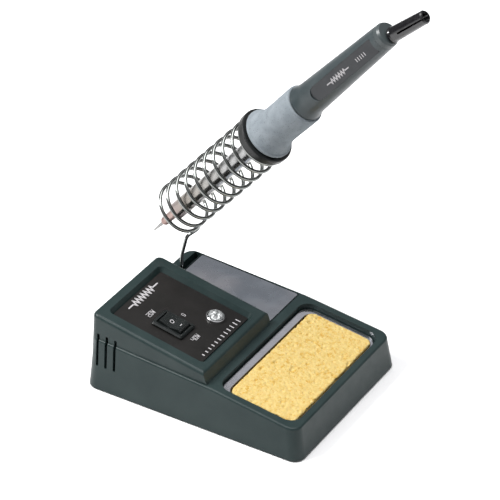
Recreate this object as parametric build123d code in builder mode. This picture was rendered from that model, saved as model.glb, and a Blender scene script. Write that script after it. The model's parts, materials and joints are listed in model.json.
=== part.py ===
from build123d import *
import os
from math import atan, cos, degrees, radians, sin, tan

os.makedirs("parts", exist_ok=True)

# A soldering iron station: a moulded casing with a control box at its rear left, a sponge tray along
# its front and a spring holder at its rear right that carries the iron. The origin is at the middle
# of the whole assembly's footprint, on the surface it stands on. +X is to the user's right,
# +Y to the rear and +Z up. Millimetres.

# ---- driving dimensions ----
base_width = 114.0
y_front, y_rear = -65.9, 79.1        # the casing's foot
bottom_z = 1.0
wall = 2.2
draft_side, draft_front, draft_rear = 5.0, 9.0, 4.0

kink_y, kink_z = -5.4, 29.0          # where the slope of the casing's top changes
slope_tray, slope_plate = 0.137, 0.07

box_left, box_right = -53.0, 18.0    # control box
box_front_y, box_front_z = 0.0, 36.784
box_slope = 0.19

panel_x, panel_y = -17.6, 36.6
panel_width, panel_length = 51.2, 62.0
panel_depth = 3.2
switch_x, switch_y = -27.8, 35.5
lamp_x, lamp_y = -4.7, 20.9

tray_y = -33.05                      # middle of the sponge well
well_width, well_length = 99.2, 51.8
cavity_x, cavity_y = -1.1, -1.95     # the tray's cavity, nearer its front left corner
cavity_width, cavity_length = 93.4, 44.9
cavity_radius = 6.0
tray_wall = 0.6

plate_left, plate_right = 19.2, 51.8
plate_front, plate_back = -1.2, 66.2
slot_left, slot_right = 29.5, 52.5
slot_y, slot_width = 69.25, 4.3

holder_x, holder_y, holder_z = 35.0, 69.9, 76.4    # middle of the coil's lower end
holder_elevation = 49.4
wire_radius = 1.1
coil_radius = 15.25                  # to the middle of the wire
stem_x = 33.8

post_spots = [(-45, 2.6), (45, 2.6), (-42, 67.6), (45, 59.6)]
foot_spots = [(-45, -54.4), (45, -54.4), (-45, 42), (45, 42)]
clamp_screw_spots = [(43, slot_y + 2.35), (50, slot_y - 2.35)]
vent_spots = [59.4, 65.3, 71.2]
block_x, block_y = -20.0, 39.6         # terminal block
gland_x = (-24.0, 4.0)               # mains cord, iron cord
gland_z = 14.0


# ---- heights, planes and shared forms ----
def top_z(y):
    """Height of the casing's sloped top."""
    return kink_z + (y - kink_y) * (slope_tray if y < kink_y else slope_plate)


def rim_z(y):
    """Height of the control box's tilted top."""
    return box_front_z + box_slope * (y - box_front_y)


def lean(z, angle):
    """How far a wall with this draft has moved inward at height z."""
    return (z - bottom_z) * tan(radians(angle))


def sloped_plane(x, y, z, slope):
    """A plane parallel to X that rises to the rear with the given slope."""
    tilt = atan(slope)
    return Plane(origin=(x, y, z), x_dir=(1, 0, 0), z_dir=(0, -sin(tilt), cos(tilt)))


tray_plane = sloped_plane(0, tray_y, top_z(tray_y), slope_tray)
panel_plane = sloped_plane(panel_x, panel_y, rim_z(panel_y), box_slope)
plate_x = (plate_left + plate_right) / 2
plate_y = (plate_front + plate_back) / 2
plate_plane = sloped_plane(plate_x, plate_y, top_z(plate_y), slope_plate)
panel_face = -panel_depth + 0.8      # the panel plate's face, measured from the box's rim

elevation = radians(holder_elevation)
mouth = Vector(holder_x, holder_y, holder_z)
along = Vector(0, -cos(elevation), sin(elevation))     # up the iron, from tip to cord
above = Vector(0, sin(elevation), cos(elevation))      # out of the iron's upper side
iron_axis = Axis(mouth, along)
profile_plane = Plane(origin=mouth, x_dir=(1, 0, 0), z_dir=-above)     # x = radius, y = station


def station_plane(s):
    """The plane across the iron at station s, with its y axis on the upper side."""
    return Plane(origin=mouth + along * s, x_dir=(1, 0, 0), z_dir=along)


def prism(plane, points, length, mode=Mode.ADD):
    with BuildSketch(plane) as profile:
        Polygon(*points, align=None)
    extrude(profile.sketch, amount=length, mode=mode)


def uprights(form):
    """The long, nearly vertical corner edges of a form."""
    return form.edges().filter_by(
        lambda e: abs((e @ 0).Z - (e @ 1).Z) > 7 and abs((e @ 0).Y - (e @ 1).Y) < 5)


def edges_on(form, height):
    """The edges that lie wholly on the surface z = height(y)."""
    return form.edges().filter_by(
        lambda e: all(abs(p.Z - height(p.Y)) < 0.02 for p in (e @ 0, e @ 0.5, e @ 1)))


def low_form(inset, floor):
    """The casing below its sloped top, with every face moved inward by inset."""
    side = Plane.YZ.offset(-base_width)
    cap = 60.0
    front, rear, half = y_front + inset, y_rear - inset, base_width / 2 - inset
    with BuildPart() as form:
        prism(side, [(front + lean(floor, draft_front), floor), (front + lean(cap, draft_front), cap),
                     (rear - lean(cap, draft_rear), cap), (rear - lean(floor, draft_rear), floor)],
              2 * base_width)
        prism(Plane.XZ.offset(-150), [
            (lean(floor, draft_side) - half, floor), (lean(cap, draft_side) - half, cap),
            (half - lean(cap, draft_side), cap), (half - lean(floor, draft_side), floor)],
            300, Mode.INTERSECT)
        prism(side, [(-90, top_z(-90) - inset), (kink_y, kink_z - inset), (110, top_z(110) - inset),
                     (110, 90), (-90, 90)], 2 * base_width, Mode.SUBTRACT)
        fillet(uprights(form), 7 - inset)
        if not inset:
            fillet(edges_on(form, top_z).filter_by(lambda e: abs(e.center().Y - kink_y) > 0.01), 1.5)
    return form.part


def box_form(inset):
    """The control box, with every face moved inward by inset."""
    rear = y_rear - inset
    with BuildPart() as form:
        prism(Plane.YZ.offset(box_left + inset), [
            (box_front_y - 5.6 + inset, 20), (box_front_y + inset, box_front_z - inset),
            (90, rim_z(90) - inset), (90, 20)], box_right - box_left - 2 * inset)
        prism(Plane.YZ.offset(-base_width), [
            (-90, 0), (-90, 80), (rear - lean(80, draft_rear), 80), (rear - lean(0, draft_rear), 0)],
            2 * base_width, Mode.INTERSECT)
        fillet(uprights(form), 4 - inset / 2)
        if not inset:
            fillet(edges_on(form, rim_z), 2.2)
    return form.part


def casing(inset, floor):
    with BuildPart() as form:
        add(low_form(inset, floor))
        add(box_form(inset))
    return form.part


def turned(points):
    """A solid of revolution about the iron's axis from (radius, station) points."""
    with BuildPart() as body:
        with BuildSketch(profile_plane):
            with BuildLine():
                Polyline(*points, close=True)
            make_face()
        revolve(axis=iron_axis)
    return body.part


def tube_along(points, radii, radius):
    """A round wire along straight runs that are joined by tangent arcs."""
    with BuildPart() as wire:
        with BuildLine() as path:
            FilletPolyline(*points, radius=radii)
        with BuildSketch(Plane(origin=path.line @ 0, z_dir=path.line % 0)):
            Circle(radius)
        sweep(path=path.line)
    return wire.part


def save(shape, name):
    shape.label = name
    export_step(shape, "parts/" + name + ".step")


# ---- top housing ----
outer_casing = casing(0, bottom_z)

with BuildPart() as inner_blocks:
    # walls and floor of the sponge well
    with BuildSketch(tray_plane.offset(-17.4)):
        RectangleRounded(well_width + 4.4, well_length + 4.4, 8)
    extrude(amount=20)
    # thick seat under the control panel
    with BuildSketch(panel_plane.offset(-6.4)):
        RectangleRounded(64, 73, 3)
    extrude(amount=5)
    # trough around the holder's slot
    with BuildSketch(Plane.XY.offset(24)):
        with Locations(((slot_left + slot_right) / 2, slot_y)):
            Rectangle(slot_right - slot_left + 4, slot_width + 3.4)
    extrude(amount=8)
    # posts for the cover screws
    with BuildSketch(Plane.XY.offset(6.4)):
        with Locations(*post_spots):
            Circle(3.8)
    extrude(amount=60)
    add(outer_casing, mode=Mode.INTERSECT)

with BuildPart() as top_housing:
    add(outer_casing)
    add(casing(wall, bottom_z - 5), mode=Mode.SUBTRACT)
    add(inner_blocks.part)
    # sponge well: a shoulder for the tray's rim, then the pit
    with BuildSketch(tray_plane.offset(3)):
        RectangleRounded(well_width, well_length, 8)
    extrude(amount=-8, mode=Mode.SUBTRACT)
    with BuildSketch(tray_plane.offset(-2)):
        with Locations((cavity_x, cavity_y)):
            RectangleRounded(cavity_width + 1.9, cavity_length + 1.9, cavity_radius + 0.9)
    extrude(amount=-13.5, mode=Mode.SUBTRACT)
    # recess for the control panel, with bevelled walls
    with BuildSketch(panel_plane.offset(-panel_depth)):
        RectangleRounded(panel_width, panel_length, 1.2)
    extrude(amount=panel_depth + 1, taper=-35, mode=Mode.SUBTRACT)
    # holes for the switch and the indicator
    with BuildSketch(panel_plane.offset(1)):
        with Locations((switch_x - panel_x, switch_y - panel_y)):
            Rectangle(13.4, 19.4)
        with Locations((lamp_x - panel_x, lamp_y - panel_y)):
            Circle(4.8)
    extrude(amount=-10, mode=Mode.SUBTRACT)
    # seat of the heat plate, with slots for its two tabs
    with BuildSketch(plate_plane.offset(4)):
        RectangleRounded(plate_right - plate_left + 1.4, plate_back - plate_front + 1.4, 1)
    extrude(amount=-4.6, mode=Mode.SUBTRACT)
    with BuildSketch(plate_plane):
        with Locations((-6, 18), (-6, -18)):
            Rectangle(1.3, 7)
    extrude(amount=-4, mode=Mode.SUBTRACT)
    # slot behind the heat plate, closed below except for the holder's stem
    with BuildSketch(Plane.XY.offset(26)):
        with Locations(((slot_left + slot_right) / 2, slot_y)):
            RectangleRounded(slot_right - slot_left, slot_width, 1)
    extrude(amount=14, mode=Mode.SUBTRACT)
    with BuildSketch(Plane.XY.offset(20)):
        with Locations((stem_x, slot_y)):
            Circle(wire_radius + 0.05)
    extrude(amount=10, mode=Mode.SUBTRACT)
    # pilot holes of the clamp screws and the cover screws
    with BuildSketch(Plane.XY.offset(23)):
        with Locations(*clamp_screw_spots):
            Circle(0.9)
    extrude(amount=2.4, mode=Mode.SUBTRACT)
    with BuildSketch(Plane.XY.offset(6)):
        with Locations(*post_spots):
            Circle(1.5)
    extrude(amount=11, mode=Mode.SUBTRACT)
    # three ventilation slots that hook over the ledge
    for y in vent_spots:
        with BuildSketch(Plane.YZ.offset(-60)):
            with Locations((y, (16.5 + top_z(y) + 3.6) / 2)):
                RectangleRounded(1.8, top_z(y) + 3.6 - 16.5, 0.8)
        extrude(amount=12, mode=Mode.SUBTRACT)
    # holes of the two cord glands
    with BuildSketch(Plane.XZ.offset(-66)):
        with Locations(*[(x, gland_z) for x in gland_x]):
            Circle(4.7)
    extrude(amount=-20, mode=Mode.SUBTRACT)
save(top_housing.part, "top_housing")

# ---- bottom cover, its screws and the feet ----
cover_top = bottom_z + 2.2
with BuildPart() as bottom_cover:
    with BuildSketch(Plane.XY.offset(bottom_z)):
        with Locations((0, (y_front + y_rear) / 2)):
            RectangleRounded(base_width - 5.8, y_rear - y_front - 5.8, 4.4)
    extrude(amount=cover_top - bottom_z)
    with BuildSketch(Plane.XY.offset(cover_top)):
        with Locations(*post_spots):
            Circle(4.6)
    extrude(amount=3)
    # stiffening ribs under the control box
    with BuildSketch(Plane.XY.offset(cover_top)):
        with Locations((-20, 66), (-20, 12)):
            Rectangle(34, 1.6)
    extrude(amount=3)
    with BuildSketch(Plane.XY.offset(bottom_z)):
        with Locations(*foot_spots):
            Circle(5.7)
    extrude(amount=1.2, mode=Mode.SUBTRACT)
    with BuildSketch(Plane.XY.offset(bottom_z)):
        with Locations(*post_spots):
            Circle(3.2)
    extrude(amount=2.6, mode=Mode.SUBTRACT)
    with BuildSketch(Plane.XY.offset(bottom_z)):
        with Locations(*post_spots):
            Circle(1.7)
        with Locations((-41.5, block_y), (1.5, block_y)):
            Circle(1.1)
    extrude(amount=8, mode=Mode.SUBTRACT)
    # ventilation slots
    with BuildSketch(Plane.XY.offset(bottom_z)):
        with GridLocations(5.0, 0, 5, 1):
            with Locations((20, 24.6)):
                SlotOverall(22, 2, rotation=90)
    extrude(amount=4, mode=Mode.SUBTRACT)
save(bottom_cover.part, "bottom_cover")

with BuildPart() as cover_screws:
    with BuildSketch(Plane.XY.offset(1.6)):
        with Locations(*post_spots):
            Circle(2.8)
    extrude(amount=2.0)
    with BuildSketch(Plane.XY.offset(3.6)):
        with Locations(*post_spots):
            Circle(1.45)
    extrude(amount=12)
    with BuildSketch(Plane.XY.offset(1.6)):
        with Locations(*post_spots):
            Rectangle(3.2, 0.7)
            Rectangle(0.7, 3.2)
    extrude(amount=1.1, mode=Mode.SUBTRACT)
save(cover_screws.part, "cover_screws")

with BuildPart() as rubber_feet:
    with BuildSketch():
        with Locations(*foot_spots):
            Circle(5.4)
    extrude(amount=2.2)
    fillet(rubber_feet.edges().group_by(Axis.Z)[0], 0.6)
save(rubber_feet.part, "rubber_feet")

# ---- control panel, switch and indicator ----
with BuildPart() as panel_plate:
    with BuildSketch(panel_plane.offset(-panel_depth)):
        RectangleRounded(panel_width - 0.5, panel_length - 0.5, 1)
        with Locations((switch_x - panel_x, switch_y - panel_y)):
            Rectangle(13.4, 19.4, mode=Mode.SUBTRACT)
        with Locations((lamp_x - panel_x, lamp_y - panel_y)):
            Circle(4.8, mode=Mode.SUBTRACT)
    extrude(amount=0.8)
save(panel_plate.part, "panel_plate")

# The switch stands square to the panel. Its frame is placed by the middle of its bezel.
switch_plane = Plane(
    origin=panel_plane.offset(panel_face).from_local_coords((switch_x - panel_x, switch_y - panel_y, 0)),
    x_dir=(1, 0, 0), z_dir=panel_plane.z_dir)
bezel_height = 2.0
well_half = 8.7
pivot_drop = 3.2                     # rocker's pivot below the bezel's top
pivot_plane = switch_plane.offset(bezel_height - pivot_drop)
pivot_side = Plane(origin=pivot_plane.origin, x_dir=pivot_plane.y_dir, z_dir=(1, 0, 0))

with BuildPart() as switch_body:
    with BuildSketch(switch_plane):
        RectangleRounded(15.6, 21.2, 1.4)
    extrude(amount=bezel_height)
    chamfer(switch_body.faces().sort_by(Axis.Z)[-1].edges(), 0.8)
    with BuildSketch(switch_plane):
        Rectangle(13.0, 19.0)
    extrude(amount=-16)
    with BuildSketch(switch_plane.offset(bezel_height)):
        Rectangle(11.0, 2 * well_half)
    extrude(amount=-14, mode=Mode.SUBTRACT)
    with BuildSketch(pivot_side.offset(-8)):
        Circle(1.05)
    extrude(amount=16, mode=Mode.SUBTRACT)
save(switch_body.part, "switch_body")

rocker_radius = well_half - 0.3      # the ends sweep inside the well
rise_at_ends = 5.1                   # height of the rocker's two crests above its pivot
dip_at_middle = 3.5
with BuildPart() as rocker:
    with BuildSketch(pivot_side.offset(-5.2)):
        with BuildLine():
            Polyline((-9, -2.5), (-9, rise_at_ends - 1.4), (-6.2, rise_at_ends), (0, dip_at_middle),
                     (6.2, rise_at_ends), (9, rise_at_ends - 1.4), (9, -2.5), close=True)
        make_face()
        Circle(rocker_radius, mode=Mode.INTERSECT)
    extrude(amount=10.4)
    fillet(rocker.edges().filter_by(Axis.X).sort_by(Axis.Z)[-4:], 0.5)
    with BuildSketch(pivot_side.offset(-6.4)):
        Circle(1.0)
    extrude(amount=12.8)
    with BuildSketch(pivot_side.offset(-1.5)):
        with Locations((0, -3.4)):
            Rectangle(3, 2)
    extrude(amount=3)
save(rocker.part, "rocker")

with BuildPart() as switch_contact:
    with BuildSketch(pivot_side.offset(-2.0)):
        with BuildLine():
            Polyline((-7, -6.6), (-6.6, -7.0), (-1.2, -5.4), (1.2, -5.4), (6.6, -7.0), (7, -6.6),
                     (1.4, -4.8), (-1.4, -4.8), close=True)
        make_face()
    extrude(amount=4)
save(switch_contact.part, "switch_contact")

with BuildPart() as switch_terminals:
    with BuildSketch(switch_plane.offset(-16)):
        with Locations((0, -6.3), (0, 0), (0, 6.3)):
            Rectangle(4.8, 0.8)
    extrude(amount=-7)
save(switch_terminals.part, "switch_terminals")

lamp_plane = Plane(
    origin=panel_plane.offset(panel_face).from_local_coords((lamp_x - panel_x, lamp_y - panel_y, 0)),
    x_dir=(1, 0, 0), z_dir=panel_plane.z_dir)


def lamp_turned(points):
    """A solid of revolution about the indicator's axis from (radius, height) points."""
    with BuildPart() as body:
        with BuildSketch(Plane(origin=lamp_plane.origin, x_dir=(1, 0, 0), z_dir=-lamp_plane.y_dir)):
            with BuildLine():
                Polyline(*points, close=True)
            make_face()
        revolve(axis=Axis(lamp_plane.origin, lamp_plane.z_dir))
    return body.part


save(lamp_turned([(4.1, -12), (4.1, -0.2), (4.9, 0.6), (4.9, 1.2), (5.2, 1.5), (5.6, 1.2), (5.8, 0),
                  (4.7, 0), (4.7, -12)]), "indicator_bezel")
save(lamp_turned([(0, -4), (3.9, -4), (3.9, 0), (4.7, 0.8), (4.7, 1.3), (3.4, 2.2), (1.8, 2.7),
                  (0, 2.9)]), "indicator_lens")
save(lamp_turned([(4.75, -5.6), (6.6, -5.6), (6.6, -8.4), (4.75, -8.4)]), "indicator_nut")
save(lamp_turned([(0, -4.4), (1.2, -4.7), (2.0, -5.6), (2.0, -11.4), (0, -11.4)]), "neon_bulb")

with BuildPart() as lamp_leads:
    with BuildSketch(lamp_plane.offset(-11.4)):
        with Locations((-1, 0), (1, 0)):
            Circle(0.35)
    extrude(amount=-9)
save(lamp_leads.part, "lamp_leads")

# ---- wiring inside the casing ----
block_z = cover_top + 0.2
block_ports = [(block_x + 8 * i, block_y) for i in range(-2, 3)]
with BuildPart() as terminal_block:
    with BuildSketch(Plane.XY.offset(block_z)):
        with Locations((block_x, block_y)):
            Rectangle(46, 13)
    extrude(amount=8)
    with BuildSketch(Plane.XY.offset(block_z)):
        with Locations((block_x, block_y)):
            Rectangle(38, 8)
    extrude(amount=11)
    with BuildSketch(Plane.XY.offset(block_z + 11)):
        with Locations(*block_ports):
            Circle(2.1)
    extrude(amount=-5, mode=Mode.SUBTRACT)
    with BuildSketch(Plane.XY.offset(block_z)):
        with Locations((-41.5, block_y), (1.5, block_y)):
            Circle(1.6)
    extrude(amount=8, mode=Mode.SUBTRACT)
save(terminal_block.part, "terminal_block")

with BuildPart() as terminal_screws:
    with BuildSketch(Plane.XY.offset(block_z + 6)):
        with Locations(*block_ports):
            Circle(1.9)
    extrude(amount=3.2)
    with BuildSketch(Plane.XY.offset(block_z + 9.2)):
        with Locations(*block_ports):
            Rectangle(4, 0.6)
    extrude(amount=-0.8, mode=Mode.SUBTRACT)
save(terminal_screws.part, "terminal_screws")

with BuildPart() as rectifier_diode:
    with BuildSketch(Plane.YZ.offset(-14)):
        with Locations((54, 16)):
            Circle(2.4)
    extrude(amount=8)
    with BuildSketch(Plane.YZ.offset(-22)):
        with Locations((54, 16)):
            Circle(0.5)
    extrude(amount=24)
save(rectifier_diode.part, "rectifier_diode")

terminal_end = switch_plane.offset(-23.3)
wire_bodies = []
for across, port_x in ((-6.3, -36.0), (0.0, -28.0), (6.3, -20.0)):
    start = terminal_end.from_local_coords((0, across, 0))
    drop = start - Vector(0, 0, 3)
    wire_bodies.append(tube_along(
        [start, drop, Vector(port_x, block_y - 9 + across / 3, block_z + 12),
         Vector(port_x, block_y - 12, block_z + 5), Vector(port_x, block_y - 6.8, block_z + 3)],
        [1.2, 1.2, 1.2], 0.8))
save(Compound(children=wire_bodies), "switch_wires")

# ---- cord glands in the rear wall ----
wall_y = y_rear - lean(gland_z, draft_rear)
for x, name in zip(gland_x, ("mains_gland", "iron_cord_gland")):
    with BuildPart() as gland:
        with BuildSketch(Plane(origin=(x, wall_y + 0.8, gland_z), x_dir=(1, 0, 0), z_dir=(0, -1, 0))):
            Circle(6.2)
        extrude(amount=0.3)
        with BuildSketch(Plane(origin=(x, wall_y + 0.7, gland_z), x_dir=(1, 0, 0), z_dir=(0, -1, 0))):
            Circle(4.5)
        extrude(amount=9)
        with BuildSketch(Plane(origin=(x, wall_y - 3.0, gland_z), x_dir=(1, 0, 0), z_dir=(0, -1, 0))):
            Circle(5.8)
        extrude(amount=1.6)
        with BuildSketch(Plane(origin=(x, wall_y + 2, gland_z), x_dir=(1, 0, 0), z_dir=(0, -1, 0))):
            Circle(3.1)
        extrude(amount=14, mode=Mode.SUBTRACT)
    save(gland.part, name)

# ---- heat plate ----
with BuildPart() as heat_plate:
    with BuildSketch(plate_plane.offset(-0.6)):
        RectangleRounded(plate_right - plate_left, plate_back - plate_front, 1.2)
    extrude(amount=1.0)
    fillet(heat_plate.faces().filter_by(lambda f: f.normal_at().Z > 0.9).edges(), 0.35)
    with BuildSketch(plate_plane.offset(-0.6)):
        with Locations((-6, 18), (-6, -18)):
            Rectangle(0.8, 6)
    extrude(amount=-4.4)
save(heat_plate.part, "heat_plate")

# ---- sponge tray and sponge ----
with BuildPart() as sponge_tray:
    with BuildSketch(tray_plane.offset(-4.9)):
        RectangleRounded(well_width - 0.8, well_length - 0.9, 7.6)
    extrude(amount=1.8)
    fillet(sponge_tray.faces().filter_by(lambda f: f.normal_at().Z > 0.9).edges(), 0.8)
    with BuildSketch(tray_plane.offset(-4.9)):
        with Locations((cavity_x, cavity_y)):
            RectangleRounded(cavity_width + 2 * tray_wall, cavity_length + 2 * tray_wall,
                             cavity_radius + tray_wall)
    extrude(amount=-10.0)
    with BuildSketch(tray_plane):
        with Locations((cavity_x, cavity_y)):
            RectangleRounded(cavity_width, cavity_length, cavity_radius)
    extrude(amount=-14.3, mode=Mode.SUBTRACT)
save(sponge_tray.part, "sponge_tray")

with BuildPart() as sponge:
    with BuildSketch(tray_plane.offset(-14.0)):
        with Locations((cavity_x, cavity_y - 0.5)):
            RectangleRounded(cavity_width - 0.8, cavity_length - 1.6, cavity_radius - 1)
    extrude(amount=12.3)
    fillet(sponge.faces().filter_by(lambda f: f.normal_at().Z > 0.9).edges(), 1.2)
save(sponge.part, "sponge")

# ---- spring holder ----
coil_low = -1.5                      # station of the coil's lower end
end_pitch, pitch, top_pitch = 6.9, 9.8, 5.05
open_turns = 8
coil_frame = Plane(origin=mouth, x_dir=-above, z_dir=along)


def coil_run(start, climb, turn_pitch):
    """One stretch of the coil, which starts on the coil's lowest side at station start."""
    frame = coil_frame.offset(start)
    helix = frame.location * Helix(pitch=turn_pitch, height=climb, radius=coil_radius, lefthand=True)
    with BuildPart() as run:
        with BuildSketch(Plane(origin=helix @ 0, z_dir=helix % 0)):
            Circle(wire_radius)
        sweep(path=helix, is_frenet=True)
    return run.part, helix


open_low = coil_low + end_pitch
open_high = open_low + open_turns * pitch
first_turn, first_path = coil_run(coil_low, end_pitch, end_pitch)
open_coil = coil_run(open_low, open_turns * pitch, pitch)[0]
last_turn = coil_run(open_high, top_pitch, top_pitch)[0]
coil_start = first_path @ 0
stem = tube_along([
    coil_start, coil_start - (first_path % 0) * 4.0, Vector(stem_x + 7.2, slot_y - 7.2, 60.5),
    Vector(stem_x + 2.5, slot_y - 2.3, 56.3), Vector(stem_x, slot_y, 43.0),
    Vector(stem_x, slot_y, 21.5), Vector(50.5, slot_y, 21.5)],
    [2.6, 2.8, 5.0, 12.0, 2.6], wire_radius)
with BuildPart() as holder_wire:
    add(open_coil)
    add(first_turn)
    add(last_turn)
    add(stem)
save(holder_wire.part, "holder_wire")

ring_seat = open_high + top_pitch + wire_radius + 0.05
ring_lip = coil_radius + wire_radius + 0.1
save(turned([(13.6, ring_seat), (ring_lip, ring_seat), (ring_lip, ring_seat - 2.8),
             (ring_lip + 0.85, ring_seat - 2.8), (ring_lip + 0.85, ring_seat + 0.7),
             (ring_lip + 0.35, ring_seat + 1.2), (14.1, ring_seat + 1.2), (13.6, ring_seat + 0.7)]),
     "holder_ring")

with BuildPart() as holder_clamp:
    with BuildSketch(Plane.XY.offset(17.6)):
        with Locations((46.5, slot_y)):
            Rectangle(11, 7.5)
    extrude(amount=6.2)
    with BuildSketch(Plane.YZ.offset(30)):
        with Locations((slot_y, 21.5)):
            Circle(wire_radius + 0.02)
    extrude(amount=30, mode=Mode.SUBTRACT)
    with BuildSketch(Plane.XY.offset(17)):
        with Locations(*clamp_screw_spots):
            Circle(1.0)
    extrude(amount=8, mode=Mode.SUBTRACT)
save(holder_clamp.part, "holder_clamp")

with BuildPart() as clamp_screws:
    with BuildSketch(Plane.XY.offset(16.2)):
        with Locations(*clamp_screw_spots):
            Circle(1.9)
    extrude(amount=1.4)
    with BuildSketch(Plane.XY.offset(17.6)):
        with Locations(*clamp_screw_spots):
            Circle(0.88)
    extrude(amount=7.5)
save(clamp_screws.part, "clamp_screws")

# ---- the iron, by station along its axis ----
tip_end = -30.1
barrel_end, collar_s = -4.0, 98.0
barrel_radius, barrel_bore = 5.3, 4.6
flange_s = ring_seat + 1.2 + 0.25    # the grip's flange rests on the holder's ring
grip_end = 128.6
cap_s = 203.5

save(turned([(0, tip_end), (0.6, tip_end + 0.5), (1.1, -20.6), (1.7, -19.2), (2.7, -18.0), (2.8, -17.2),
             (2.8, -4.2), (4.4, -3.2), (4.4, 18), (2.0, 18.8), (2.0, 58), (0, 58)]), "tip")

with BuildPart() as barrel:
    add(turned([(barrel_bore, barrel_end + 0.4), (4.9, barrel_end), (barrel_radius, barrel_end + 0.4),
                (barrel_radius, collar_s), (barrel_bore, collar_s)]))
    # vent holes in two rows near the handle
    for s in (78, 86):
        with BuildSketch(Plane(origin=mouth + along * s - Vector(6, 0, 0), x_dir=above, z_dir=(1, 0, 0))):
            Circle(1.1)
        extrude(amount=12, mode=Mode.SUBTRACT)
    # threaded hole of the tip screw
    with BuildSketch(Plane(origin=mouth + along * 3, x_dir=(1, 0, 0), z_dir=-above)):
        Circle(1.3)
    extrude(amount=6, mode=Mode.SUBTRACT)
save(barrel.part, "barrel")

with BuildPart() as tip_screw:
    with BuildSketch(Plane(origin=mouth + along * 3 + above * -4.45, x_dir=(1, 0, 0), z_dir=-above)):
        Circle(1.25)
        RegularPolygon(0.7, 6, mode=Mode.SUBTRACT)
    extrude(amount=1.9)
save(tip_screw.part, "tip_screw")

heater_start, heater_end = 24.0, 76.0
save(turned([(2.15, heater_start), (3.3, heater_start), (3.3, heater_end), (2.15, heater_end)]),
     "heater_bobbin")
winding_pitch = 4.0
winding_frame = Plane(origin=mouth + along * (heater_start + 2), x_dir=(1, 0, 0), z_dir=along)
winding = winding_frame.location * Helix(pitch=winding_pitch, height=48, radius=3.42)
with BuildPart() as heater_winding:
    with BuildSketch(Plane(origin=winding @ 0, z_dir=winding % 0)):
        Circle(0.11)
    sweep(path=winding, is_frenet=True)
save(heater_winding.part, "heater_winding")
save(turned([(3.56, heater_start - 1), (3.74, heater_start - 1), (3.74, heater_end + 1),
             (3.56, heater_end + 1)]), "mica_sleeve")

flange_bore = barrel_radius + 0.05
save(turned([(flange_bore, collar_s - 1.0), (9.2, collar_s - 1.0), (9.2, collar_s + 0.4),
             (flange_bore, collar_s + 0.4)]), "barrel_flange")
screw_circle = 7.3
screw_spots = [(screw_circle * cos(radians(a)), screw_circle * sin(radians(a))) for a in (90, 210, 330)]
with BuildPart() as flange_screws:
    with BuildSketch(station_plane(collar_s - 1.05)):
        with Locations(*screw_spots):
            Circle(1.5)
    extrude(amount=-1.1)
    with BuildSketch(station_plane(collar_s + 0.45)):
        with Locations(*screw_spots):
            Circle(0.75)
    extrude(amount=6)
save(flange_screws.part, "flange_screws")

with BuildPart() as heater_leads:
    for side in (-1, 1):
        add(tube_along([mouth + along * s + Vector(side * x, 0, 0)
                        for s, x in ((heater_end + 1.2, 1.2), (96, 1.2), (108, 2.4), (119, 2.4))],
                       [4, 4], 0.6))
save(heater_leads.part, "heater_leads")

with BuildPart() as lead_connectors:
    with BuildSketch(station_plane(119.1)):
        with Locations((-2.4, 0), (2.4, 0)):
            Circle(1.5)
    extrude(amount=9)
save(lead_connectors.part, "lead_connectors")

with BuildPart() as grip_foam:
    with BuildSketch(profile_plane):
        with BuildLine():
            Polyline((11.85, 104), (9.6, 104), (9.6, flange_s), (14.7, flange_s))
            ThreePointArc((14.7, flange_s), (15.5, flange_s + 1.3), (14.9, flange_s + 2.7))
            Spline((14.9, flange_s + 2.7), (13.1, flange_s + 5.6), (11.85, 104),
                   tangents=[(-1, 0.9), (0, 1)])
        make_face()
        with BuildLine():
            Spline((11.85, 104), (11.65, 112), (12.0, grip_end - 1), tangents=[(0, 1), (0, 1)])
            Polyline((12.0, grip_end - 1), (11.4, grip_end), (9.6, grip_end), (9.6, 104), (11.85, 104))
        make_face()
    revolve(axis=iron_axis)
save(grip_foam.part, "grip_foam")

# The handle tapers in a straight line behind a short flare at the grip.
handle_start = collar_s + 0.45
taper_start = 136.0
taper_wide, taper_narrow = 9.75, 7.55
bore_wide, bore_narrow = 7.0, 5.4
pocket_start, pocket_end, pocket_width = 144.0, 200.0, 9.4
pocket_floor = (-8.15, -6.0)         # beside the axis, at the pocket's two ends


def pocket_form(inset, low, high):
    """The label pocket in the handle's left side, from low to high above its floor."""
    near, far = pocket_floor
    with BuildPart() as form:
        with BuildSketch(profile_plane):
            Polygon((near - low, pocket_start), (far - low, pocket_end),
                    (far - high, pocket_end), (near - high, pocket_start), align=None)
        extrude(amount=pocket_width, both=True)
        length = pocket_end - pocket_start - 2 * inset
        width = pocket_width - 2 * inset
        middle = mouth + along * (pocket_start + pocket_end) / 2
        with BuildSketch(Plane(origin=middle, x_dir=along, z_dir=(-1, 0, 0))):
            with Locations((-length / 2 + width / 2, 0)):
                Circle(width / 2)
            with Locations((width / 4, 0)):
                RectangleRounded(length - width / 2, width, 0.8)
        extrude(amount=30, mode=Mode.INTERSECT)
    return form.part


# ---- cord relief at the iron's end, on an axis of its own that leans to the front ----
boot_root = mouth + along * 194.8
boot_dir = Vector(0, -0.755, 0.656).normalized()
boot_axis = Axis(boot_root, boot_dir)
boot_length = 40.5
boot_bore = 2.35
boot_neck = 3.2
boot_side = Plane(origin=boot_root, x_dir=(1, 0, 0), z_dir=boot_dir.cross(Vector(1, 0, 0)) * -1)

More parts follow.
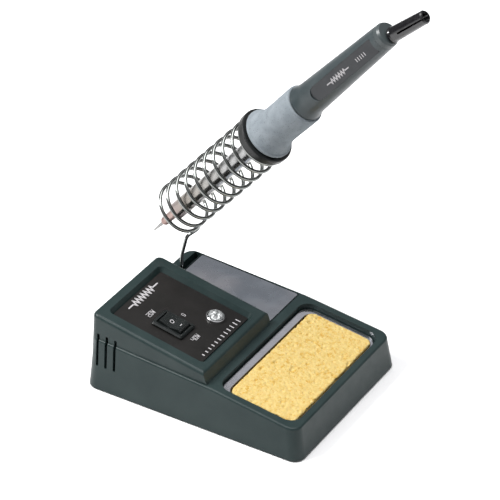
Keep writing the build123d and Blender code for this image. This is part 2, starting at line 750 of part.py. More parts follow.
with BuildPart() as handle_body:
    with BuildSketch(profile_plane):
        with BuildLine():
            Polyline((10.9, grip_end + 1.1), (10.4, grip_end + 0.2), (9.5, grip_end + 0.2),
                     (9.5, handle_start), (5.4, handle_start), (5.4, handle_start + 3),
                     (bore_wide, handle_start + 3), (bore_wide, 126), (bore_narrow, 132),
                     (bore_narrow, cap_s - 0.1), (taper_narrow, cap_s - 0.1), (taper_wide, taper_start))
            Spline((taper_wide, taper_start), (10.2, grip_end + 4), (10.9, grip_end + 1.1),
                   tangents=[(0.03, -1), (0.3, -1)])
        make_face()
    revolve(axis=iron_axis)
    add(pocket_form(0, 0, 9), mode=Mode.SUBTRACT)
    with BuildSketch(station_plane(handle_start)):
        with Locations(*screw_spots):
            Circle(0.78)
    extrude(amount=6.2, mode=Mode.SUBTRACT)
save(handle_body.part, "handle_body")
save(pocket_form(0.25, 0.02, 0.5), "handle_label")

with BuildPart() as end_cap:
    add(turned([(0, 197), (bore_narrow - 0.1, 197), (bore_narrow - 0.1, cap_s), (7.5, cap_s),
                (7.4, cap_s + 3), (6.6, cap_s + 4.5), (0, cap_s + 4.5)]))
    with BuildSketch(Plane(origin=boot_root, x_dir=(1, 0, 0), z_dir=boot_dir)):
        Circle(boot_neck + 0.1)
    extrude(amount=20, mode=Mode.SUBTRACT)
save(end_cap.part, "end_cap")

with BuildPart() as cord_boot:
    with BuildSketch(boot_side):
        with BuildLine():
            Polyline((boot_bore, -0.6), (4.0, -0.6), (4.0, 1.2), (boot_neck, 1.2), (boot_neck, 14.2),
                     (4.5, 14.2), (4.7, 15.2), (4.4, 16.2), (3.9, boot_length - 0.8),
                     (3.3, boot_length), (boot_bore, boot_length), close=True)
        make_face()
    revolve(axis=boot_axis)
    # three slots that open at the end
    with BuildSketch(Plane(origin=boot_root + boot_dir * 21, x_dir=(1, 0, 0), z_dir=boot_dir)):
        with PolarLocations(3, 3, start_angle=180):
            Rectangle(6, 1.1)
    extrude(amount=boot_length, mode=Mode.SUBTRACT)
save(cord_boot.part, "cord_boot")
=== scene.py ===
import json
import math

import bmesh
import bpy
import numpy as np
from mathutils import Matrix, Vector
from mathutils.bvhtree import BVHTree
from mathutils.kdtree import KDTree


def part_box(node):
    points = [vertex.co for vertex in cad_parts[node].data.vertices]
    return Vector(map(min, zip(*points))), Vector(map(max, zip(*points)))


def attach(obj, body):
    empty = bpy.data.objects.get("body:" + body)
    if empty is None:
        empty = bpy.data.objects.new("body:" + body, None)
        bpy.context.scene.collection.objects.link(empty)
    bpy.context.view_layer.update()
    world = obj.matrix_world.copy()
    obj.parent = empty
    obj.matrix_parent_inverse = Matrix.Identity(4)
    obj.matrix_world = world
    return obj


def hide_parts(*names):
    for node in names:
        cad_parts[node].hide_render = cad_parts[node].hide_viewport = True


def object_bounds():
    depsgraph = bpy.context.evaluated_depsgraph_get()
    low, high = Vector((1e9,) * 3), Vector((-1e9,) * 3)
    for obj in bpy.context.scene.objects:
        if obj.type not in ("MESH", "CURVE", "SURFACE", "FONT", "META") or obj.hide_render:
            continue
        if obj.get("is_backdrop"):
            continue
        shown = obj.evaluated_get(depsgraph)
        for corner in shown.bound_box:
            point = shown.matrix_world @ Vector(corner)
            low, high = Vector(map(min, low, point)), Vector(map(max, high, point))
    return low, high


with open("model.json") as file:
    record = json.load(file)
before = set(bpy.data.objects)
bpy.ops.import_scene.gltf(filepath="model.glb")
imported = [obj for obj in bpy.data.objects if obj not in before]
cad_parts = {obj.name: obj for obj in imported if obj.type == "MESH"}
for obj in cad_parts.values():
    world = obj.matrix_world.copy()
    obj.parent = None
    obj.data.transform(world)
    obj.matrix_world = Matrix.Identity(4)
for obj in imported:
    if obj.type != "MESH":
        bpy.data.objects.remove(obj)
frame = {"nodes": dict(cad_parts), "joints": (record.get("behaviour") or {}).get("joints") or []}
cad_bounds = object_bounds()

# The looks of a soldering iron station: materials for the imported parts, and detailed pieces for the
# sponge, the foam grip, the indicator's lens and the printed marks. Metres; +X right, +Y rear, +Z up.

MM = 0.001
joints = {joint["name"]: joint for joint in frame["joints"]}
iron_dir = Vector(joints["iron_pull"]["axis"]).normalized()
tray_dir = Vector(joints["tray_lift"]["axis"]).normalized()
right = Vector((1, 0, 0))
panel_tilt = math.atan(0.19)                # the control box's top rises to the rear
panel_normal = Vector((0, -math.sin(panel_tilt), math.cos(panel_tilt)))
panel_back = panel_normal.cross(right)      # along the panel, to the rear


def middle(node):
    low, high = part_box(node)
    return (Vector(low) + Vector(high)) / 2


def link(name, mesh):
    piece = bpy.data.objects.new(name, mesh)
    bpy.context.scene.collection.objects.link(piece)
    return piece


def solid(name, form, finish, smooth=False):
    """An object from a finished bmesh, in one material."""
    mesh = bpy.data.meshes.new(name)
    form.to_mesh(mesh)
    form.free()
    if smooth:
        mesh.shade_smooth()
    mesh.materials.append(finish.material)
    return link(name, mesh)


def join_rings(form, first, second):
    """Faces between two closed rings of as many vertices."""
    count = len(first)
    for step in range(count):
        after = (step + 1) % count
        form.faces.new((first[step], first[after], second[after], second[step]))


# ---- materials: each has its own colour, gloss and surface from nodes in object space ----
class Finish:
    """A material and the nodes that feed its shader."""

    def __init__(self, name, colour, rough, **values):
        self.material = bpy.data.materials.new(name)
        self.material.use_nodes = True
        self.tree = self.material.node_tree
        self.shader = self.tree.nodes["Principled BSDF"]
        self.shader.inputs["Base Color"].default_value = (*colour, 1)
        self.shader.inputs["Roughness"].default_value = rough
        for setting, value in values.items():
            title = setting.replace("_", " ").title().replace("Ior", "IOR")
            self.shader.inputs[title].default_value = value

    def node(self, kind, **settings):
        made = self.tree.nodes.new(kind)
        for name, value in settings.items():
            setattr(made, name, value)
        return made

    def place(self, stretch=(1, 1, 1)):
        """Object coordinates, each multiplied by its share of stretch."""
        source = self.node("ShaderNodeTexCoord")
        mapping = self.node("ShaderNodeMapping")
        mapping.inputs["Scale"].default_value = stretch
        self.tree.links.new(source.outputs["Object"], mapping.inputs["Vector"])
        return mapping.outputs["Vector"]

    def noise(self, size, detail=3, harsh=0.55, stretch=(1, 1, 1)):
        """Noise with lumps of about this size, in metres."""
        made = self.node("ShaderNodeTexNoise")
        made.inputs["Scale"].default_value = 1 / size
        made.inputs["Detail"].default_value = detail
        made.inputs["Roughness"].default_value = harsh
        self.tree.links.new(self.place(stretch), made.inputs["Vector"])
        return made.outputs["Fac"]

    def cells(self, size, stretch=(1, 1, 1)):
        """Distance to the nearest cell centre, for cells of about this size, in metres."""
        made = self.node("ShaderNodeTexVoronoi")
        made.inputs["Scale"].default_value = 1 / size
        self.tree.links.new(self.place(stretch), made.inputs["Vector"])
        return made.outputs["Distance"]

    def ramp(self, value, *stops):
        """Colours at places from 0 to 1."""
        made = self.node("ShaderNodeValToRGB")
        points = made.color_ramp.elements
        while len(points) < len(stops):
            points.new(0.5)
        for point, (at, colour) in zip(points, stops):
            point.position = at
            point.color = (*colour, 1)
        self.tree.links.new(value, made.inputs["Fac"])
        return made.outputs["Color"]

    def spread(self, value, low, high, start=0.3, end=0.7):
        """value from start to end becomes low to high."""
        made = self.node("ShaderNodeMapRange")
        for name, number in (("From Min", start), ("From Max", end), ("To Min", low), ("To Max", high)):
            made.inputs[name].default_value = number
        self.tree.links.new(value, made.inputs["Value"])
        return made.outputs["Result"]

    def mix(self, share, first, second):
        """first where share is 0, second where it is 1; both are colours from nodes."""
        made = self.node("ShaderNodeMix", data_type="RGBA")
        self.tree.links.new(share, made.inputs["Factor"])
        self.tree.links.new(first, made.inputs[6])
        self.tree.links.new(second, made.inputs[7])
        return made.outputs[2]

    def colour(self, value):
        self.tree.links.new(value, self.shader.inputs["Base Color"])

    def rough(self, value):
        self.tree.links.new(value, self.shader.inputs["Roughness"])

    def bump(self, value, height):
        """Raises the surface by value times height, in metres, on top of any earlier bump."""
        made = self.node("ShaderNodeBump")
        made.inputs["Strength"].default_value = 1.0
        made.inputs["Distance"].default_value = height
        self.tree.links.new(value, made.inputs["Height"])
        normal = self.shader.inputs["Normal"]
        if normal.is_linked:
            self.tree.links.new(normal.links[0].from_socket, made.inputs["Normal"])
        self.tree.links.new(made.outputs["Normal"], normal)


def moulded(name, dark, light, rough, grain=0.5 * MM, depth=0.02 * MM, shine=0.5):
    """Moulded plastic: slight colour drift, a fine grain and faint handling marks in the gloss."""
    made = Finish(name, dark, rough, specular_ior_level=shine)
    made.colour(made.ramp(made.noise(26 * MM), (0.35, dark), (0.65, light)))
    made.rough(made.spread(made.noise(7 * MM, detail=5), rough - 0.05, rough + 0.07))
    made.bump(made.noise(grain, detail=2), depth)
    return made


def bare_metal(name, tone, rough, depth=0.004 * MM):
    """Bare or plated metal: tone and polish that drift slightly, and a fine grain of this depth."""
    made = Finish(name, tone, rough, metallic=1.0)
    dark = tuple(c * 0.86 for c in tone)
    made.colour(made.ramp(made.noise(9 * MM, detail=4), (0.35, dark), (0.7, tone)))
    polish = made.noise(2.5 * MM, detail=5)
    made.rough(made.spread(polish, rough * 0.75, rough * 1.3))
    made.bump(made.noise(0.35 * MM, detail=2), depth)
    return made


def housing_finish():
    made = moulded("housing_plastic", (0.013, 0.0245, 0.0245), (0.019, 0.032, 0.0315), 0.34, shine=0.22)
    made.bump(made.noise(12 * MM, detail=1), 0.05 * MM)
    return made


def panel_finish():
    return moulded("printed_panel", (0.010, 0.0095, 0.009), (0.014, 0.013, 0.0125), 0.36,
                   0.25 * MM, 0.008 * MM, 0.16)


def plate_finish():
    """Satin plate whose polish drifts in soft clouds."""
    made = Finish("satin_plate", (0.4, 0.42, 0.46), 0.26, metallic=1.0)
    clouds = made.noise(34 * MM, detail=2)
    made.colour(made.ramp(clouds, (0.34, (0.33, 0.36, 0.40)), (0.66, (0.50, 0.50, 0.53))))
    made.rough(made.spread(made.noise(9 * MM, detail=3), 0.20, 0.34))
    made.bump(made.noise(16 * MM, detail=1), 0.05 * MM)
    made.bump(made.noise(0.3 * MM, detail=2), 0.0015 * MM)
    return made


def tray_finish():
    made = bare_metal("pressed_tray", (0.76, 0.76, 0.81), 0.18, depth=0.01 * MM)
    made.bump(made.noise(1.6 * MM, detail=3), 0.05 * MM)
    return made


def wire_finish():
    # painted shade: the plating's dark tone stands in for the dark surroundings that bright chrome wire
    # would reflect
    made = bare_metal("plated_wire", (0.25, 0.26, 0.25), 0.15)
    made.bump(made.noise(3 * MM, detail=2), 0.03 * MM)
    return made


BARREL_MIDDLE = 47 * MM                     # station of the barrel's middle, above the coil's foot
barrel_centre = middle("barrel")
iron_zero = barrel_centre.dot(iron_dir) - BARREL_MIDDLE


def along_iron(made, start, end):
    """0 to 1 from one station to another along the iron, which start and end give in metres."""
    dot = made.node("ShaderNodeVectorMath", operation="DOT_PRODUCT")
    made.tree.links.new(made.place(), dot.inputs[0])
    dot.inputs[1].default_value = iron_dir
    return made.spread(dot.outputs["Value"], 0, 1, iron_zero + start, iron_zero + end)


def barrel_finish():
    made = Finish("heated_barrel", (0.6, 0.57, 0.53), 0.22, metallic=1.0)
    heat = along_iron(made, -4 * MM, 98 * MM)
    # painted shade: the greys are darker than bright steel, standing in for the dark surroundings the
    # barrel would reflect; the brown is towards the tip end
    made.colour(made.ramp(heat, (0.0, (0.26, 0.21, 0.20)), (0.12, (0.26, 0.235, 0.21)),
                          (0.34, (0.29, 0.28, 0.265)), (0.6, (0.31, 0.31, 0.31))))
    made.rough(made.spread(made.noise(2 * MM, detail=5), 0.12, 0.28))
    made.bump(made.noise(0.3 * MM, stretch=(1, 0.2, 0.2)), 0.004 * MM)
    return made


def tip_finish():
    made = Finish("plated_tip", (0.6, 0.5, 0.46), 0.3, metallic=1.0)
    heat = along_iron(made, -30 * MM, 4 * MM)
    made.colour(made.ramp(heat, (0.0, (0.34, 0.34, 0.33)), (0.28, (0.26, 0.255, 0.25)),
                          (0.36, (0.30, 0.21, 0.19)), (0.8, (0.40, 0.31, 0.285))))
    made.rough(made.spread(made.noise(1.2 * MM, detail=6), 0.2, 0.5))
    made.bump(made.noise(0.5 * MM, detail=4), 0.03 * MM)
    return made


def foam_finish():
    made = Finish("grip_foam", (0.19, 0.21, 0.23), 0.9, specular_ior_level=0.25)
    ground = made.ramp(made.noise(6 * MM, detail=4),
                       (0.3, (0.165, 0.190, 0.209)), (0.7, (0.221, 0.247, 0.266)))
    speck = made.spread(made.cells(1.1 * MM), 1, 0, 0.12, 0.24)
    dark = made.ramp(made.noise(3 * MM), (0.4, (0.095, 0.11, 0.125)), (0.6, (0.15, 0.168, 0.185)))
    made.colour(made.mix(speck, ground, dark))
    made.bump(made.noise(0.45 * MM, detail=4), 0.12 * MM)
    made.bump(made.cells(1.1 * MM), 0.10 * MM)
    return made


def sponge_finish():
    made = Finish("cellulose_sponge", (0.56, 0.42, 0.15), 0.88,
                  subsurface_weight=0.08, specular_ior_level=0.3)
    made.shader.inputs["Subsurface Radius"].default_value = (0.9 * MM, 0.5 * MM, 0.12 * MM)
    pale = made.ramp(made.noise(2.2 * MM, detail=5),
                     (0.35, (0.485, 0.345, 0.112)), (0.62, (0.550, 0.420, 0.163)))
    deep = made.ramp(made.noise(0.9 * MM, detail=4),
                     (0.35, (0.40, 0.225, 0.036)), (0.65, (0.50, 0.325, 0.075)))
    patches = made.spread(made.noise(3.2 * MM, detail=5, harsh=0.75), 0, 1, 0.53, 0.62)
    tan = made.mix(patches, pale, deep)
    fleck = made.spread(made.cells(2.6 * MM, stretch=(1, 1.7, 1)), 1, 0, 0.10, 0.17)
    amber = made.ramp(made.noise(1.5 * MM), (0.4, (0.36, 0.15, 0.012)), (0.6, (0.45, 0.24, 0.03)))
    made.colour(made.mix(fleck, tan, amber))
    made.bump(made.noise(0.5 * MM, detail=5, harsh=0.7), 0.14 * MM)
    return made


def boot_finish():
    made = Finish("glossy_relief", (0.006, 0.006, 0.007), 0.2, coat_weight=0.4)
    made.rough(made.spread(made.noise(3 * MM, detail=4), 0.14, 0.3))
    made.bump(made.noise(2 * MM, detail=2), 0.04 * MM)
    return made


def lens_finish():
    made = Finish("faceted_lens", (0.4, 0.4, 0.4), 0.24, metallic=0.5)
    made.colour(made.ramp(made.noise(1.8 * MM), (0.4, (0.20, 0.21, 0.21)), (0.6, (0.50, 0.51, 0.51))))
    return made


def rubber_finish(name, tone):
    made = Finish(name, tone, 0.75)
    made.colour(made.ramp(made.noise(5 * MM), (0.3, tone), (0.7, tuple(c * 1.5 for c in tone))))
    made.bump(made.noise(0.4 * MM), 0.03 * MM)
    return made


def glassy(name, tone):
    made = Finish(name, tone, 0.06, transmission_weight=0.85)
    made.rough(made.spread(made.noise(2 * MM), 0.03, 0.12))
    return made


def fired(name, tone):
    made = Finish(name, tone, 0.7)
    made.colour(made.ramp(made.noise(1.5 * MM), (0.3, tuple(c * 0.85 for c in tone)), (0.7, tone)))
    made.bump(made.noise(0.3 * MM), 0.02 * MM)
    return made


def ink_finish():
    made = Finish("white_ink", (0.4, 0.39, 0.4), 0.5)
    made.colour(made.ramp(made.noise(0.5 * MM, detail=3),
                          (0.35, (0.33, 0.32, 0.33)), (0.6, (0.47, 0.455, 0.465))))
    return made


black_gloss = moulded("switch_plastic", (0.006, 0.008, 0.008), (0.010, 0.012, 0.012), 0.26,
                      0.3 * MM, 0.008 * MM, 0.35)
slate = moulded("handle_plastic", (0.030, 0.040, 0.043), (0.040, 0.051, 0.054), 0.33,
                0.4 * MM, 0.012 * MM, 0.36)
label_dark = moulded("label_plastic", (0.026, 0.028, 0.031), (0.033, 0.035, 0.038), 0.42,
                     0.25 * MM, 0.008 * MM, 0.3)
black_ring = moulded("black_ring", (0.009, 0.010, 0.010), (0.014, 0.015, 0.015), 0.3,
                     0.4 * MM, 0.01 * MM, 0.35)
cap_plastic = moulded("end_cap_plastic", (0.040, 0.050, 0.052), (0.050, 0.061, 0.063), 0.33, shine=0.4)
steel = bare_metal("zinc_steel", (0.58, 0.58, 0.60), 0.3)
brass = bare_metal("brass", (0.78, 0.58, 0.28), 0.28)
black_rubber = rubber_finish("black_rubber", (0.02, 0.02, 0.02))
nylon = moulded("white_nylon", (0.74, 0.73, 0.69), (0.80, 0.79, 0.75), 0.5)
insulation = moulded("red_insulation", (0.42, 0.03, 0.02), (0.5, 0.05, 0.03), 0.35)
finishes = {
    "top_housing": housing_finish(),
    "bottom_cover": moulded("cover_plastic", (0.018, 0.024, 0.024), (0.026, 0.032, 0.031), 0.5,
                            shine=0.3),
    "cover_screws": steel, "clamp_screws": steel, "flange_screws": steel, "tip_screw": steel,
    "lamp_leads": steel, "holder_clamp": steel,
    "rubber_feet": black_rubber, "mains_gland": black_rubber, "iron_cord_gland": black_rubber,
    "panel_plate": panel_finish(),
    "switch_body": black_gloss, "rocker": black_gloss, "rectifier_diode": black_gloss,
    "switch_contact": brass, "switch_terminals": brass,
    "terminal_screws": brass, "lead_connectors": brass,
    "indicator_bezel": bare_metal("bright_bezel", (0.82, 0.82, 0.82), 0.12),
    "indicator_nut": nylon, "terminal_block": nylon,
    "neon_bulb": glassy("neon_glass", (0.95, 0.8, 0.7)),
    "switch_wires": insulation, "heater_leads": insulation,
    "heat_plate": plate_finish(),
    "sponge_tray": tray_finish(),
    "holder_wire": wire_finish(),
    "holder_ring": black_ring,
    "tip": tip_finish(),
    "barrel": barrel_finish(),
    "barrel_flange": steel,
    "heater_bobbin": fired("fired_ceramic", (0.82, 0.80, 0.75)),
    "heater_winding": bare_metal("nichrome", (0.42, 0.39, 0.36), 0.35),
    "mica_sleeve": glassy("mica", (0.6, 0.5, 0.35)),
    "handle_body": slate,
    "handle_label": label_dark,
    "end_cap": cap_plastic,
    "cord_boot": boot_finish(),
}
for name, finish in finishes.items():
    for place in frame["nodes"][name].material_slots:
        place.material = finish.material


# ---- the sponge: a rounded slab with torn pores ----
def rounded_slab(half, corner, edge, step):
    """Vertices and faces of a closed slab, with plan corners and top edges rounded, on a fine grid."""
    form = bmesh.new()
    bmesh.ops.create_cube(form, size=2)
    cuts = [max(1, round(2 * side / step)) for side in half]
    for axis, count in enumerate(cuts):
        for cut in range(1, count):
            at = -1 + 2 * cut / count
            normal = Vector([float(i == axis) for i in range(3)])
            bmesh.ops.bisect_plane(form, geom=form.verts[:] + form.edges[:] + form.faces[:],
                                   plane_co=normal * at, plane_no=normal)
    for vert in form.verts:
        point = Vector([c * h for c, h in zip(vert.co, half)])
        inner = Vector([max(-h + corner, min(h - corner, c)) for c, h in zip(point[:2], half[:2])])
        away = Vector(point[:2]) - inner
        if away.length > 0 and min(abs(away.x), abs(away.y)) > 0:
            away = away.normalized() * max(abs(away.x), abs(away.y))
            point.x, point.y = inner + away
        rise = point.z - (half[2] - edge)
        if rise > 0:
            reach = max(abs(away.x), abs(away.y), away.length) - (corner - edge)
            if reach > 0:
                slope = Vector((reach, rise)).normalized() * max(reach, rise)
                outward = away.normalized()
                point.x, point.y = inner + outward * (corner - edge + slope.x)
                point.z = half[2] - edge + slope.y
        vert.co = point
    return form


def make_sponge():
    low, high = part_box("sponge")
    tilt = math.atan2(-tray_dir.y, tray_dir.z)
    width = high[0] - low[0]
    thick = 12.3 * MM
    length = (high[1] - low[1] - thick * math.sin(tilt)) / math.cos(tilt)
    gap = 0.2 * MM                          # to the tray's walls, on each side
    half = (width / 2 - gap, length / 2 - gap, thick / 2)
    form = rounded_slab(half, corner=4.2 * MM, edge=1.0 * MM, step=0.5 * MM)
    form.normal_update()
    random = np.random.default_rng(7)
    points = np.array([v.co for v in form.verts])
    normals = np.array([v.normal for v in form.verts])
    depth = np.zeros(len(points))
    tree = KDTree(len(points))
    for index, point in enumerate(points):
        tree.insert(point, index)
    tree.balance()
    # smallest and largest radius, depth and number
    pores = [(0.45 * MM, 0.7 * MM, 0.28 * MM, 2400), (0.7 * MM, 1.1 * MM, 0.6 * MM, 220),
             (1.1 * MM, 1.7 * MM, 1.1 * MM, 22)]
    outer = np.flatnonzero(points[:, 2] > -half[2] + 1 * MM)
    for small, large, deep, count in pores:
        for start in random.choice(outer, count):
            radius = random.uniform(small, large)
            stretch = random.uniform(0.6, 1.0)
            turn = random.uniform(0, math.pi)
            for _, index, distance in tree.find_range(points[start], radius):
                away = points[index] - points[start]
                across = away[0] * math.sin(turn) - away[1] * math.cos(turn)
                share = min(1, math.hypot(distance, across * (1 / stretch - 1)) / radius)
                depth[index] = max(depth[index], deep * (1 - share * share) ** 0.7)
    depth += random.uniform(0, 0.12 * MM, len(points)) * (points[:, 2] > -half[2] + 0.5 * MM)
    points -= normals * depth[:, None]
    centre = middle("sponge")
    back = tray_dir.cross(right)
    for vert, point in zip(form.verts, points):
        vert.co = centre + right * point[0] + back * point[1] + tray_dir * point[2]
    piece = solid("sponge_pad", form, sponge_finish(), smooth=True)
    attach(piece, "sponge")
    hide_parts("sponge")


make_sponge()


# ---- the foam grip: a turned sleeve with an uneven cell skin ----
def make_grip():
    form = bmesh.new()
    around = 180
    skin = 10 * MM                          # beyond this radius the surface is uneven
    up = iron_dir.cross(right)
    random = np.random.default_rng(11)
    rings = []
    for radius, station in grip_outline():
        centre = barrel_centre + iron_dir * (station - BARREL_MIDDLE)
        ring = []
        for step in range(around):
            angle = 2 * math.pi * step / around
            rough = random.uniform(-0.06, 0.04) * MM if radius > skin else 0
            spoke = right * math.cos(angle) + up * math.sin(angle)
            ring.append(form.verts.new(centre + spoke * (radius + rough)))
        rings.append(ring)
    rings.append(rings[0])
    for first, second in zip(rings, rings[1:]):
        join_rings(form, first, second)
    bmesh.ops.recalc_face_normals(form, faces=form.faces)
    piece = solid("foam_sleeve", form, foam_finish(), smooth=True)
    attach(piece, "iron")
    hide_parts("grip_foam")


def grip_outline():
    """(radius, station) round the sleeve's section: bore, flange, concave neck, grip and rear edge."""
    bore, flange, end = 9.6, 91.45, 128.6
    lip, lip_round, lip_half = 14.1, 1.4, 1.38
    points = [(bore, flange), (12, flange), (14.2, flange)]
    for step in range(9):
        angle = math.radians(-80 + 20 * step)
        points.append((lip + lip_round * math.cos(angle), flange + lip_half * (1 + math.sin(angle))))
    points += neck_points()
    points += [(11.9, end - 0.4), (11.4, end), (bore, end), (bore, 110)]
    return [(radius * MM, station * MM) for radius, station in points]


def neck_points():
    """The neck, concave behind the flange, and the grip, which widens slightly to the rear."""
    start, end, step = 94.6, 128, 0.7
    waist, flare, flare_length = 11.67, 2.6, 4.2
    swell, swell_start, swell_length = 0.35, 104, 24
    station = start
    while station < end:
        neck = flare * math.exp(-((station - start) / flare_length) ** 1.25)
        along = min(1, max(0, (station - swell_start) / swell_length))
        yield waist + neck + swell * math.sin(math.pi * along * 0.5), station
        station += step


make_grip()


# ---- the indicator's faceted lens ----
def make_lens():
    """A shallow dome of facets: every second spoke is a ridge."""
    rise = 3.45 * MM                        # of the dome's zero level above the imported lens's middle
    top = middle("indicator_lens") + panel_normal * rise
    radius = 4.7 * MM
    ridge, valley = 0.28, -0.1
    spokes = 16
    form = bmesh.new()
    # share of the radius, and height in millimetres
    levels = [(1.0, -1.6), (1.0, -0.75), (0.78, -0.2), (0.45, 0.35), (0.0, 0.15)]
    rings = []
    for index, (reach, height) in enumerate(levels):
        if reach == 0:
            rings.append([form.verts.new(top + panel_normal * height * MM)])
            continue
        ring = []
        for step in range(spokes):
            angle = 2 * math.pi * (step + 0.5 * (index % 2)) / spokes
            bulge = height + (ridge if step % 2 else valley) * (0 < index < 4)
            spoke = right * math.cos(angle) + panel_back * math.sin(angle)
            ring.append(form.verts.new(top + spoke * radius * reach + panel_normal * bulge * MM))
        rings.append(ring)
    for first, second in zip(rings, rings[1:]):
        for step in range(spokes):
            after = (step + 1) % spokes
            if len(second) == 1:
                form.faces.new((first[step], first[after], second[0]))
            else:
                form.faces.new((first[step], first[after], second[step]))
                form.faces.new((first[after], second[after], second[step]))
    form.faces.new(list(reversed(rings[0])))
    bmesh.ops.recalc_face_normals(form, faces=form.faces)
    piece = solid("lens_jewel", form, lens_finish())
    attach(piece, "base")
    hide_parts("indicator_lens")


make_lens()


# ---- printed marks: thin inked shapes that lie on the panel, the rocker and the handle's label ----
INK = 0.05 * MM                             # height of a mark above its surface
UNDER = 0.01 * MM                           # its underside, just clear of the surface
FONT_WEIGHT = 0.12                          # width of a letter's strokes, as a share of its height
ink = ink_finish()

# A stroke font on a grid 2 wide and 4 high, for the wattage numbers.
STROKES = {
    "0": [[(0, 0), (2, 0), (2, 4), (0, 4), (0, 0)]],
    "2": [[(0, 4), (2, 4), (2, 2), (0, 2), (0, 0), (2, 0)]],
    "4": [[(0, 4), (0, 2), (2, 2)], [(2, 4), (2, 0)]],
    "W": [[(0, 4), (0.5, 0), (1, 2.4), (1.5, 0), (2, 4)]],
}


def stroke(form, points, width, frame_of):
    """A flat ribbon of constant width along points, placed by frame_of(x, y, height)."""
    for start, end in zip(points, points[1:]):
        start, end = Vector(start), Vector(end)
        run = (end - start).normalized() * width / 2
        side = Vector((-run.y, run.x))
        corners = [start - run - side, end + run - side, end + run + side, start - run + side]
        low = [form.verts.new(frame_of(c.x, c.y, UNDER)) for c in corners]
        high = [form.verts.new(frame_of(c.x, c.y, INK)) for c in corners]
        form.faces.new(high)
        form.faces.new(list(reversed(low)))
        for here, there in zip(range(4), (1, 2, 3, 0)):
            form.faces.new((low[here], low[there], high[there], high[here]))


def glyphs(form, text, at, size, frame_of):
    """Stroke-font text whose middle is at the given place; size is its height."""
    unit = size / 4
    advance = 3 * unit
    left = at[0] - (len(text) * advance - unit) / 2
    for index, letter in enumerate(text):
        for line in STROKES[letter]:
            points = [(left + index * advance + x * unit, at[1] - size / 2 + y * unit) for x, y in line]
            stroke(form, points, size * FONT_WEIGHT, frame_of)


def zigzag(form, at, length, height, peaks, width, frame_of):
    """The sign of a heating resistor: a zigzag between two straight leads."""
    lead = length * 0.16
    points = [(-length / 2, 0), (-length / 2 + lead, 0)]
    run = (length - 2 * lead) / (2 * peaks)
    for turn in range(2 * peaks):
        points.append((points[1][0] + (turn + 0.5) * run, height / 2 * (1 if turn % 2 else -1)))
    points += [(length / 2 - lead, 0), (length / 2, 0)]
    stroke(form, [(at[0] + x, at[1] + y) for x, y in points], width, frame_of)


def ring(form, at, radius, width, frame_of, sides):
    inner, outer = radius - width / 2, radius + width / 2
    rows = []
    turns = [2 * math.pi * step / sides for step in range(sides)]
    for reach, height in ((inner, UNDER), (outer, UNDER), (outer, INK), (inner, INK)):
        spots = [(at[0] + reach * math.cos(turn), at[1] + reach * math.sin(turn)) for turn in turns]
        rows.append([form.verts.new(frame_of(x, y, height)) for x, y in spots])
    for first, second in zip(rows, rows[1:] + rows[:1]):
        join_rings(form, first, second)


def finish_marks(name, form, body):
    bmesh.ops.recalc_face_normals(form, faces=form.faces)
    piece = solid(name, form, ink)
    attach(piece, body)


def make_panel_marks():
    """Wattage numbers round the switch, a row of heat bars and the sign of a heater."""
    plate = middle("panel_plate")
    top = max(v.co.dot(panel_normal) for v in frame["nodes"]["panel_plate"].data.vertices)
    origin = plate + panel_normal * (top - plate.dot(panel_normal))

    def on_panel(x, y, height):
        return origin + right * x + panel_back * y + panel_normal * height

    form = bmesh.new()
    switch = middle("rocker") - origin
    across, deep = switch.x, switch.dot(panel_back)
    beyond = 15.6 * MM                      # from the switch's middle to the numbers at its two ends
    glyphs(form, "20W", (across + 0.2 * MM, deep + beyond), 3.0 * MM, on_panel)
    glyphs(form, "0", (across + 12.2 * MM, deep + 0.5 * MM), 2.5 * MM, on_panel)
    glyphs(form, "40W", (across + 0.2 * MM, deep - beyond), 3.0 * MM, on_panel)
    # bars along the front edge, taller to the right
    bars, row_left, row_width, row_foot = 12, -19.5, 39, -28.6
    for bar in range(bars):
        share = bar / (bars - 1)
        x = (row_left + row_width * share) * MM
        tall = 1.0 + 1.6 * share
        stroke(form, [(x, row_foot * MM), (x, (row_foot + tall) * MM)], 0.75 * MM, on_panel)
    zigzag(form, at=(0, 26.6 * MM), length=30 * MM, height=4.6 * MM, peaks=7, width=0.85 * MM,
           frame_of=on_panel)
    finish_marks("panel_marks", form, "base")


make_panel_marks()


def make_label_marks():
    """The sign of a heater and a few short bars on the handle's label."""
    label = middle("handle_label")
    mesh = frame["nodes"]["handle_label"].data
    outward = max(mesh.polygons, key=lambda face: face.area if face.normal.x < 0 else 0).normal.copy()
    lengthwise = (iron_dir - outward * iron_dir.dot(outward)).normalized()
    upward = lengthwise.cross(outward)
    if upward.z < 0:
        upward = -upward
    top = max(v.co.dot(outward) for v in mesh.vertices)
    origin = label + outward * (top - label.dot(outward))

    def on_label(x, y, height):
        return origin + lengthwise * x + upward * y + outward * height

    form = bmesh.new()
    zigzag(form, at=(-6 * MM, 0), length=19 * MM, height=2.8 * MM, peaks=6, width=0.65 * MM,
           frame_of=on_label)
    for bar in range(5):
        x = (11 + 1.8 * bar) * MM
        stroke(form, [(x, -0.9 * MM), (x, 0.9 * MM)], 0.5 * MM, on_label)
    finish_marks("label_marks", form, "iron")


make_label_marks()


def make_rocker_marks():
    """A ring near the rocker's middle and a bar towards its front end, which follow its curve."""
    mesh = frame["nodes"]["rocker"].data
    centre = middle("rocker")
    corners = [v.co.copy() for v in mesh.vertices]
    tree = BVHTree.FromPolygons(corners, [list(face.vertices) for face in mesh.polygons])
    start, clear = 30 * MM, 0.02 * MM       # where the search starts above, and the marks' clearance

    def on_rocker(x, y, height):
        place = centre + right * x + panel_back * y + panel_normal * start
        hit = tree.ray_cast(place, -panel_normal)[0]
        return hit + panel_normal * (height + clear)

    form = bmesh.new()
    ring(form, (0, 1.0 * MM), 1.15 * MM, 0.42 * MM, on_rocker, sides=24)
    stroke(form, [(-0.7 * MM, -5.0 * MM), (0.7 * MM, -5.0 * MM)], 0.5 * MM, on_rocker)
    finish_marks("rocker_marks", form, "rocker")


make_rocker_marks()


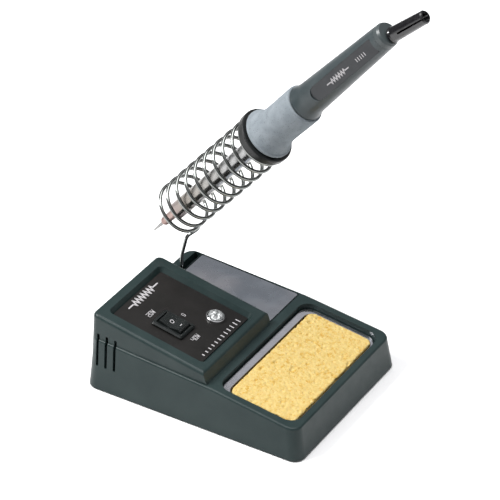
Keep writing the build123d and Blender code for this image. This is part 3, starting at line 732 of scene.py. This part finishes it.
# ---- floor, light and camera ----
def make_floor():
    form = bmesh.new()
    bmesh.ops.create_grid(form, x_segments=1, y_segments=1, size=6)
    pale = Finish("pale_floor", (0.93, 0.93, 0.93), 0.9)
    pale.colour(pale.ramp(pale.noise(300 * MM), (0.3, (0.92, 0.92, 0.92)), (0.7, (0.94, 0.94, 0.94))))
    solid("floor", form, pale)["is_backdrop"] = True


def area_light(name, place, target, size, power):
    light = bpy.data.lights.new(name, "AREA")
    light.shape = "DISK"
    light.size = size
    light.energy = power
    lamp = bpy.data.objects.new(name, light)
    lamp.location = place
    lamp.rotation_euler = (Vector(target) - Vector(place)).to_track_quat("-Z", "Y").to_euler()
    bpy.context.scene.collection.objects.link(lamp)


make_floor()
heart = (0, 0, 0.08)
area_light("key", (-0.55, 0.75, 1.15), heart, 0.5, 24)
area_light("top", (0.1, -0.1, 1.6), heart, 1.2, 20)


def studio_world():
    """Soft grey surroundings: pale overhead, with a darker band round the horizon for metal to reflect."""
    world = bpy.data.worlds.new("studio")
    world.use_nodes = True
    tree = world.node_tree
    coordinates = tree.nodes.new("ShaderNodeTexCoord")
    split = tree.nodes.new("ShaderNodeSeparateXYZ")
    ramp = tree.nodes.new("ShaderNodeValToRGB")
    tree.links.new(coordinates.outputs["Generated"], split.inputs["Vector"])
    tree.links.new(split.outputs["Z"], ramp.inputs["Fac"])
    points = ramp.color_ramp.elements
    points.new(0.45)
    for point, (at, tone) in zip(points, ((0.0, 0.10), (0.35, 0.22), (0.85, 0.80))):
        point.position = at
        point.color = (tone, tone, tone * 1.03, 1)
    tree.links.new(ramp.outputs["Color"], tree.nodes["Background"].inputs["Color"])
    tree.nodes["Background"].inputs["Strength"].default_value = 0.8
    bpy.context.scene.world = world


studio_world()
bpy.context.scene.view_settings.view_transform = "Standard"

camera_data = bpy.data.cameras.new("camera")
camera_data.lens = 198.25
camera_data.sensor_width = 36
camera = bpy.data.objects.new("camera", camera_data)
camera.location = (-1.1122, -0.6754, 0.9662)
aim = Vector((0.0256, 0.0164, 0.0701))
camera.rotation_euler = (aim - camera.location).to_track_quat("-Z", "Y").to_euler()
bpy.context.scene.collection.objects.link(camera)
bpy.context.scene.camera = camera

sizes = [[list(map(float, corner)) for corner in bounds] for bounds in (cad_bounds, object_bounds())]
